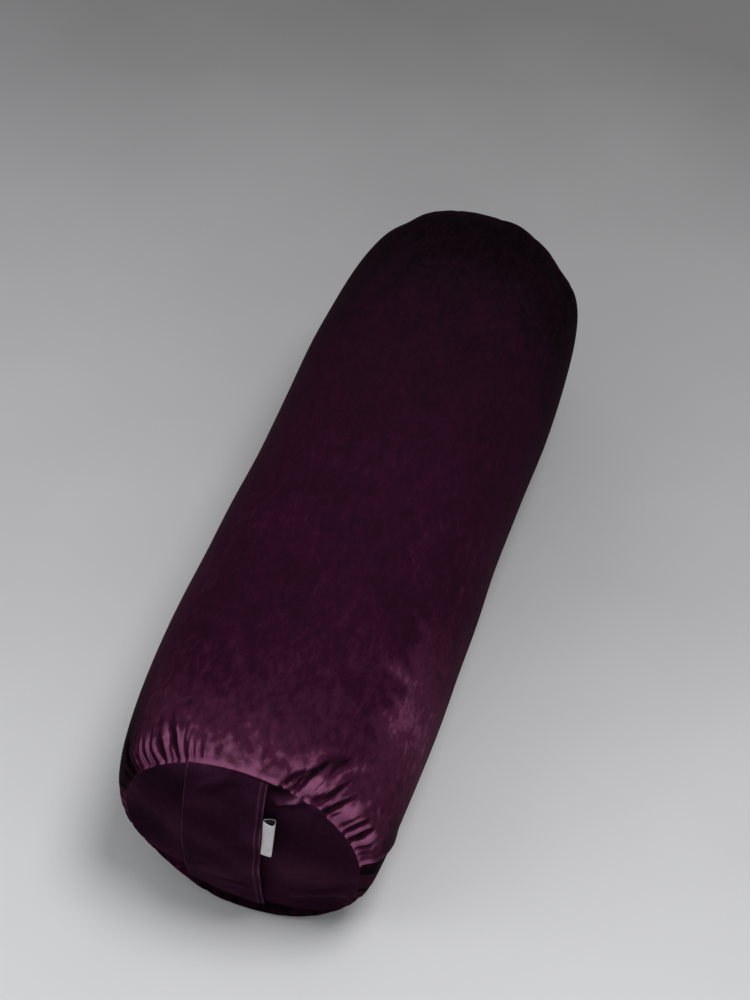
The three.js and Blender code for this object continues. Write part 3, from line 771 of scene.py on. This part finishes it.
# Painted shade that deepens from the near rim to the far end as the light falls away; the low
# sides and the far end are set back towards a middle tone.
shade_places = np.array([0, 8, 25, 60, 110, 250, 380, 500, 590, 632, 650]) / 1000
shade_values = np.array([0.84, 0.75, 0.65, 0.56, 0.50, 0.46, 0.41, 0.30, 0.14, 0.07, 0.06])
shade_along = np.interp(near_rim, shade_places, shade_values)
low_side = rising(sewn[..., 2], 0.064, -0.013) * np.clip(near_rim / 0.2, 0, 1)
far_side = 0.6 * np.clip((near_rim - 0.612) / 0.038, 0, 1) ** 2
shade_along = shade_along + (0.42 - shade_along) * np.maximum(low_side, far_side)
turned_by = np.degrees(np.arctan2(sewn[..., 2] - middle_height, sewn[..., 0]))
turned_by = np.where(turned_by < -90, turned_by + 360, turned_by)
# Painted light on the upper left, and painted shade on the left strip by the near rim.
left_glow = 0.03 * rising(turned_by, 108, 6) * bell(near_rim, 0.16)
left_dusk = -0.70 * rising(turned_by, 150, 3) * rising(turned_by, 178, -3)
left_dusk = left_dusk * bell(near_rim, 0.06)
# A patch on the right flank where the pile lies another way, painted brighter as it catches the
# light.
patch_edge = 37 + 4 * waves(71, 14, 12, 60, near_rim)
patch = rising(turned_by, patch_edge, -0.9) * rising(turned_by, -14, 3)
patch = 0.26 * patch * bell(near_rim - 0.11, 0.055)
mottle = 0.045 * waves(72, 60, 50, 150, *np.moveaxis(sewn, -1, 0)) * np.exp(-near_rim / 0.09)
# Painted highlight on the upper lap and painted shade past the lower lap, near the rim.
lap_shade = np.zeros_like(near_rim)
lap_shade[:, : upper.shape[1]] = 0.12 * np.exp(-near_rim[:, :1] / 0.04)
lap_shade[:, -lower.shape[1] - 2 :] = -0.40 * np.exp(-near_rim[:, :1] / 0.05)
# Painted shade on the lower half of the cloth by the near rim, under the lap, deepest near the
# floor.
below = rising(turned_by, 1, -2) + rising(turned_by, 195, 4)
below_lap_shade = -0.36 * below * bell(near_rim, 0.04)
below_lap_shade -= 0.22 * rising(sewn[..., 2], 0.016, -0.004) * bell(near_rim, 0.03)
# Painted highlights along the top of the near rim and on its turned-in edge.
rim_glow = 0.12 * bell(turned_by - 86, 22) * np.exp(-near_rim / 0.010)
edge_turn = turned_by[: len(rolls) + 1]
rim_glow[: len(rolls) + 1] += 0.10 * rising(edge_turn, 0, 4) * rising(edge_turn, 140, -5)
# Painted light on the right flank, partway along the bolster.
right_glow = 0.07 * bell(turned_by - 12, 22) * bell(near_rim - 0.28, 0.13)
glow = left_glow + right_glow + rim_glow + left_dusk
keep_pile_and_light(sleeve, shade_along + bend + glow + patch + mottle + lap_shade + below_lap_shade)
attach(sleeve, "root")
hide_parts("cover_sleeve")

# End panels
# Two round pieces of the same velvet, coloured darker: partly the pile lying flatter, partly
# painted shade on ends that face away from the light. The sleeve is sewn round them, and the
# stuffing domes them.
velvet_thickness, panel_inset, panel_rim = 0.002, 0.0006, half_length + 0.0003
panel_stops = [
    (0.04, 6, 2, 5), (0.3, 24, 8, 19), (0.5, 38, 15, 31), (0.75, 62, 30, 50),
    (0.98, 108, 66, 92),
]
panel_velvet = velvet("panel_velvet", panel_stops, 0.5, 0.66)


near_wrinkles = [
    ((0.038, 0.1685), (0.061, 0.1778), 0.0040, 0.0034),
    ((0.045, 0.040), (0.086, 0.058), 0.0013, 0.0036),
    ((0.050, 0.030), (0.082, 0.040), -0.0012, 0.0040),
    ((0.060, 0.052), (0.092, 0.074), -0.0010, 0.0034),
]
# Painted shade in the pocket beside the band's head and painted highlights on the ridge below it.
tuck_highlight_and_shade = [
    ((0.040, 0.1694), (0.051, 0.1734), 0.24, 0.0025),
    ((0.047, 0.1722), (0.060, 0.1786), 0.30, 0.0017),
    ((0.034, 0.1805), (0.058, 0.1840), -0.42, 0.0052),
    ((0.034, 0.1620), (0.054, 0.1690), -0.16, 0.0042),
]


def ridges(x, z, lines):
    """Rounded folds on a flat piece. Each has a start, an end, a height and a width."""
    total = 0
    for start, end, height, width in lines:
        run = end[0] - start[0], end[1] - start[1]
        away = beside(x - start[0], z - start[1], run)[1]
        total = total + height * bell(away, width)
    return total


def panel_relief(x, z, share, seed):
    """How far a panel stands out in puckers along its seam and in the stuffing's lumps."""
    round_it = np.arctan2(z - 0.09, x)
    pucker = np.sin(33 * round_it + 2 * np.sin(4 * round_it + seed)) * 0.0003
    pucker = pucker * np.exp(-((1 - share) / 0.10)) * min(1, (1 - share) / 0.02)
    return pucker + 0.0008 * waves(seed, 20, 6, 16, x, z) * (1 - share**4)


def near_relief(x, z, share):
    wrinkles = ridges(x, z, near_wrinkles)
    return wrinkles * min(1, (1 - share) / 0.03) + panel_relief(x, z, share, 21)


near_panel = cloth_disc(
    "velvet_near_panel", -1, panel_rim, panel_inset, near_crown, velvet_thickness,
    panel_velvet, near_relief, 72, 420,
)
far_panel = cloth_disc(
    "velvet_far_panel", 1, panel_rim, panel_inset, far_crown, velvet_thickness,
    panel_velvet, lambda x, z, share: panel_relief(x, z, share, 33), 56, 220,
)
for piece, node_name in ((near_panel, "near_end_panel"), (far_panel, "far_end_panel")):
    # The near panel's value takes painted highlights and shade at the tuck, and is raised on
    # wrinkle crests and lowered in their hollows as painted light; the far panel's is set a little
    # lower.
    tone = np.full(len(piece.data.vertices), 0.5 if piece is near_panel else 0.46)
    if piece is near_panel:
        spots = np.array([tuple(vertex.co) for vertex in piece.data.vertices])
        x, z = spots[:, 0], spots[:, 2]
        tone += ridges(x, z, tuck_highlight_and_shade)
        tone += np.clip(80 * near_relief(x, z, 0.5), -0.1, 0.1)
    keep_pile_and_light(piece, tone)
    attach(piece, "root")
    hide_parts(node_name)

# Carry band
# A flat band of doubled velvet, turned in and topstitched along both edges, sewn into the
# panel's seam at its head and its foot with room for a hand behind it.
band_width, band_thickness, band_flat_length, edge_half = 0.063, 0.003, 0.184, 0.0009
band_slack, head_x, foot_x, band_tuck, stitch_inset = 0.007, -0.002, -0.012, 0.0015, 0.0028
band_rows, edge_points, face_points = 110, 9, 61
band_creases = [
    ((-0.020, 0.166), (-0.004, 0.178), 0.0016, 0.0035),
    ((-0.012, 0.160), (0.006, 0.172), -0.0014, 0.0040),
    ((-0.030, 0.052), (-0.014, 0.060), -0.0012, 0.0035),
    ((-0.004, 0.040), (0.018, 0.046), -0.0014, 0.0040),
    ((0.000, 0.033), (0.020, 0.038), 0.0012, 0.0035),
]


def panel_stand(x, z):
    """How far the near panel domes out under the band."""
    power = np.where(z > rim_middle, 2.0, squareness)
    share = (np.abs(x) / rim_half_width) ** power
    share = share + (np.abs(z - rim_middle) / rim_half_height) ** power
    return near_crown * (1 - np.minimum(share ** (1 / power), 1) ** 2)


def band_point(along, across, lift):
    """A point on the band: along from foot to head, across from -1 to 1."""
    x = foot_x + (head_x - foot_x) * along + across * band_width / 2
    out = np.abs(x) / (rim_half_width - band_tuck)
    tall = rim_half_height - band_tuck
    low = rim_middle - tall * (1 - out**squareness) ** (1 / squareness)
    foot_at = -half_length, np.arctan2(low - rim_middle, x)
    low = low + hollow(*foot_at) + foot_lift * near_foot(*foot_at, *lift_place)
    high = rim_middle + tall * np.sqrt(1 - out**2)
    z = low + (high - low) * along
    slack = band_slack * np.sin(np.pi * along)
    sewn_in = bell(1 - along, 0.012) + bell(along, 0.012)
    lift = lift * (1 - 0.75 * sewn_in) - 0.0016 * sewn_in
    push = foot_push * near_foot(*foot_at, *push_place) * (1 - along) ** 1.5
    stand = panel_inset + velvet_thickness + panel_stand(x, z)
    y = -(half_length + stand + slack + lift + push)
    return np.stack(np.broadcast_arrays(x, y, z), -1)


def band_profile():
    """Across and lift round the band's section: back, right edge, face and left edge."""
    edge = np.linspace(-np.pi / 2, np.pi / 2, edge_points)
    half = band_thickness / 2
    inner = 1 - edge_half / (band_width / 2)
    face_across = inner * np.sin(np.linspace(np.pi / 2, -np.pi / 2, face_points))
    from_edge = (1 - np.abs(face_across)) * band_width / 2
    rise = half - (half - edge_half) * bell(from_edge, 0.0016)
    groove = 0.0006 * bell(from_edge - stitch_inset, 0.0007)
    right = [(inner + (1 - inner) * math.cos(a), half + edge_half * math.sin(a)) for a in edge]
    face = [(a, half + r - g) for a, r, g in zip(face_across, rise, groove)]
    left = [(-across, lift) for across, lift in right[::-1]]
    back = [(a, half - r) for a, r in zip(face_across[::-1], rise[::-1])]
    return np.array(right + face[1:-1] + left + back[1:-1])


profile = band_profile()
band_along = np.linspace(0, 1, band_rows)[:, None]
band_across = profile[None, :, 0] + np.zeros_like(band_along)
band_lift = profile[None, :, 1] + np.zeros_like(band_along)
flat_x = band_across * band_width / 2
flat_z = band_along * band_flat_length
creases = 0.0006 * waves(41, 26, 10, 34, flat_x * 0.6, flat_z)
creases = creases + ridges(flat_x, flat_z, band_creases)
free = np.sin(np.pi * band_along) ** 0.5
band_points = band_point(band_along, band_across, band_lift + creases * free)
band_faces = round_faces(band_rows, len(profile)) + end_faces(band_rows, len(profile))
band = mesh_object("velvet_band", band_points, band_faces, panel_velvet)
# Painted highlights along the folded edges and on a line inside the right edge, and painted light
# and shade on the creases.
edge_highlight = 0.34 * bell((1 - np.abs(band_across)) * band_width / 2, edge_half)
line_highlight = 0.28 * bell((1 - band_across) * band_width / 2 - 0.0042, 0.0007)
line_highlight = line_highlight * (band_lift > 0.0016)
keep_pile_and_light(band, 0.5 + edge_highlight + line_highlight + np.clip(60 * creases, -0.2, 0.2))
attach(band, "root")
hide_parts("carry_handle")

# Topstitching
# A row of plum polyester thread 2.8 mm inside each edge of the band, about three stitches
# to the centimetre, sunk into the pile.
stitch_pitch, stitch_length, thread_radius = 0.0034, 0.0026, 0.00028
thread_values = {"Roughness": 0.7, "Specular IOR Level": 0.1}
thread, thread_place, thread_shader = finish_named("plum_thread", thread_values)
twist = noise(thread_place, 0.0005, 1.0)
colour_by(thread_shader, [(0.3, 22, 8, 18), (0.7, 40, 17, 32)], twist)
bump_by(thread_shader, twist, 0.0001)


def stitches(name, line, out):
    """Short rounded stitches along a line of points; out is the cloth's outward side."""
    knots, sides = 5, 6
    run = run_of(line)
    shares = np.linspace(0, 1, knots)
    tube = round_faces(knots, sides) + end_faces(knots, sides)
    points, faces = [], []
    for begin in np.arange(stitch_pitch, run[-1] - stitch_pitch, stitch_pitch):
        at = begin + shares * stitch_length
        path, side_out = place_at(at, run, line), place_at(at, run, out)
        path = path + side_out * (np.sin(np.pi * shares) * 0.0003 - 0.0001)[:, None]
        aside = unit(np.cross(unit(path[-1] - path[0]), side_out[2]))
        faces += [tuple(len(points) + corner for corner in face) for face in tube]
        for k, centre in enumerate(path):
            thick = thread_radius * (0.45 if k in (0, knots - 1) else 1)
            for turn in full_turn(sides):
                spoke = math.cos(turn) * aside + math.sin(turn) * side_out[2]
                points.append(centre + thick * spoke)
    return mesh_object(name, points, faces, thread)


face_columns = profile[edge_points : edge_points + face_points - 2, 0]
for side, label in ((-1, "left"), (1, "right")):
    across = side * (1 - stitch_inset / (band_width / 2))
    k = np.abs(face_columns - across).argmin() + edge_points
    out = grid_normals(band_points)[:, k]
    out *= np.sign(-out[:, 1:2])
    row = stitches(f"band_stitches_{label}", band_points[:, k], out)
    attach(row, "root")

# Side ribbon
# A short length of pale woven ribbon, folded on itself and caught in the stitching of the
# band's right edge. Its inner side is painted dark as the shade inside the loop. It is left bare.
ribbon_middle = np.array([0.0265, -0.341077, 0.130617])
ribbon_out = np.array([0.99705, 0.04402, -0.06284])
ribbon_face = np.array([-0.05215, 0.98957, -0.13426])
ribbon_up = np.array([0.05627, 0.13715, 0.98895])
ribbon_height, ribbon_loop, ribbon_thickness = 0.0395, 0.0094, 0.0006
ribbon_values = {"Roughness": 0.55, "Sheen Weight": 0.15}
ribbon_finish, ribbon_place, ribbon_shader = finish_named("pale_ribbon", ribbon_values)
ribs = sine(axis(ribbon_place, 2), 0.00055) * 0.5 + 0.5
floats = sine(axis(ribbon_place, 0), 0.0004) * 0.5 + 0.5
ribbon_wear = noise(ribbon_place, 0.006, 3.0)
# Painted shade: the ribbon's inner side is coloured dark for the shade inside the loop.
ribbon_loop_shade = ribbon_place.node("Attribute", {"attribute_name": "loop_shade"}, output=2)
ribbon_stops = [(0.02, 34, 28, 32), (0.2, 196, 190, 192), (0.8, 222, 218, 219)]
ribbon_tone = (0.6 * ribbon_wear + 0.25 * ribs + 0.15 * floats) * ribbon_loop_shade
colour_by(ribbon_shader, ribbon_stops, ribbon_tone)
bump_by(ribbon_shader, ribs + 0.5 * floats, 0.00012)


def ribbon_outline(inset):
    """The folded ribbon's section, (out, through), from one sewn end round to the other."""
    radius, sewn_end = 0.0017, [0.0006, -0.00035]
    tip = ribbon_loop - radius
    share = np.linspace(0, 1, 12)[:, None]
    bend = np.linspace(-np.pi / 2, np.pi / 2, 13)[1:-1, None]
    first = (1 - share) ** 2 * sewn_end + 2 * share * (1 - share) * [tip / 2, -radius]
    first = first + share**2 * [tip, -radius]
    arc = np.concatenate([tip + radius * np.cos(bend), radius * np.sin(bend)], 1)
    outline = np.concatenate([first, arc, first[::-1] * [1, -1]])
    if inset:
        way = unit(np.gradient(outline, axis=0))
        outline = outline + inset * np.stack([-way[:, 1], way[:, 0]], 1)
        outline[:, 0] = np.maximum(outline[:, 0], sewn_end[0])
    return outline


def folded_ribbon():
    """The ribbon's loop, bowed a little along its height and open at the top."""
    rows, outer_side, inner_shade = 24, 1.0, 0.03
    outer, inner = ribbon_outline(0), ribbon_outline(ribbon_thickness * 0.42)
    loop = np.concatenate([outer, inner[::-1]])
    points = []
    for share in np.linspace(-1, 1, rows):
        bow = 0.0007 * (1 - share**2)
        flare = 1 + 0.05 * share
        for out, through in loop:
            spot = ribbon_middle + ribbon_out * out * flare
            spot = spot + ribbon_face * (through * (1.2 + 0.8 * share) + bow * out / ribbon_loop)
            points.append(spot + ribbon_up * share * ribbon_height / 2)
    count = len(loop)
    faces = round_faces(rows, count)
    half = count // 2
    for row in (0, rows - 1):
        for k in range(half - 1):
            corner = row * count
            quad = (corner + k, corner + k + 1, corner + count - 2 - k, corner + count - 1 - k)
            faces.append(quad if row else quad[::-1])
    made = mesh_object("bare_ribbon", points, faces, ribbon_finish)
    # Painted shade: the inner side of the loop is kept nearly black.
    store(made, "loop_shade", ([outer_side] * len(outer) + [inner_shade] * len(inner)) * rows)
    return made


ribbon = folded_ribbon()
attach(ribbon, "label")
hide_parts("side_label")

# Zip tapes
# Two woven polyester tapes, sewn to the turned-in edges of the seam behind the lap. Their
# weave shows as a fine herringbone.
tape_width, tape_thickness, tape_top, tape_reach = 0.012, 0.0007, -0.0047, 0.2417
tape_gap, tape_pitch = 0.0009, 0.0009
tape_finish, tape_place, tape_shader = finish_named("woven_tape", {"Roughness": 0.8})
tape_y, tape_z = axis(tape_place, 1), axis(tape_place, 2)
twill = sine(tape_y + tape_z, tape_pitch) * 0.5 + 0.5
herring = sine(tape_y - tape_z, tape_pitch) * 0.5 + 0.5
weave = 0.5 * twill + 0.5 * herring
colour_by(tape_shader, [(0.2, 34, 12, 27), (0.8, 62, 28, 50)], weave)
bump_by(tape_shader, weave, 0.0002)


def in_zip(out, along, round_it):
    """A point from the zip's own frame: out of the cover, along the seam, round the cover."""
    out, along, round_it = np.broadcast_arrays(out, along, round_it)
    spot = zip_place + out[..., None] * zip_out + round_it[..., None] * zip_round
    spot[..., 1] = along
    return spot


def tape(name, side):
    """One tape: a thin flat strip with a slight ripple along it."""
    along = np.linspace(-tape_reach, tape_reach, 300)[:, None]
    reach = np.linspace(tape_gap, tape_gap + tape_width - 0.0003, 13)
    ripple = 0.00006 * np.sin(along * 2 * np.pi / 0.013)
    face = in_zip(tape_top - 0.0001 + ripple, along, side * reach)
    back = in_zip(tape_top - tape_thickness + ripple, along, side * reach[::-1])
    loop = np.concatenate([face, back], axis=1)
    faces = round_faces(*loop.shape[:2]) + end_faces(*loop.shape[:2], True)
    return mesh_object(name, loop, faces, tape_finish)


for side, label in ((1, "upper"), (-1, "lower")):
    piece = tape(f"woven_tape_{label}", side)
    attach(piece, "root")
    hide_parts(f"zip_tape_{label}")

# Zip coils, slider, pull and stops
# Wound nylon coils, and a painted zinc slider with its pull and crimped stops, scuffed in a
# few places. Their shapes are the CAD's own, and only their materials are made here.
coil_values = {"Roughness": 0.4, "Specular IOR Level": 0.5}
coil_finish, coil_place, coil_shader = finish_named("wound_nylon", coil_values)
windings = sine(axis(coil_place, 1), 0.00125) * 0.5 + 0.5
coil_stops = [(0.1, 30, 11, 24), (0.9, 78, 38, 64)]
colour_by(coil_shader, coil_stops, 0.7 * windings + 0.3 * noise(coil_place, 0.003, 3.0))
bump_by(coil_shader, windings, 0.0004)
paint_values = {"Specular IOR Level": 0.5, "Metallic": 0.6}
paint, paint_place, paint_shader = finish_named("painted_zinc", paint_values)
scuffs = noise(paint_place, 0.0016, 4.0, 0.6)
paint_stops = [(0.35, 44, 24, 38), (0.62, 66, 42, 58), (0.76, 128, 114, 122)]
colour_by(paint_shader, paint_stops, scuffs)
feed(paint_shader, "Roughness", 0.25 + 0.3 * scuffs)
bump_by(paint_shader, scuffs, 0.00005)
coiled = ("zip_coil_upper", "zip_coil_lower")
painted = ("zip_slider", "zip_pull", "zip_top_stop_upper", "zip_top_stop_lower", "zip_bottom_stop")
for finish, node_names in ((coil_finish, coiled), (paint, painted)):
    for node_name in node_names:
        nodes[node_name].data.materials.clear()
        nodes[node_name].data.materials.append(finish)

bpy.context.view_layer.update()
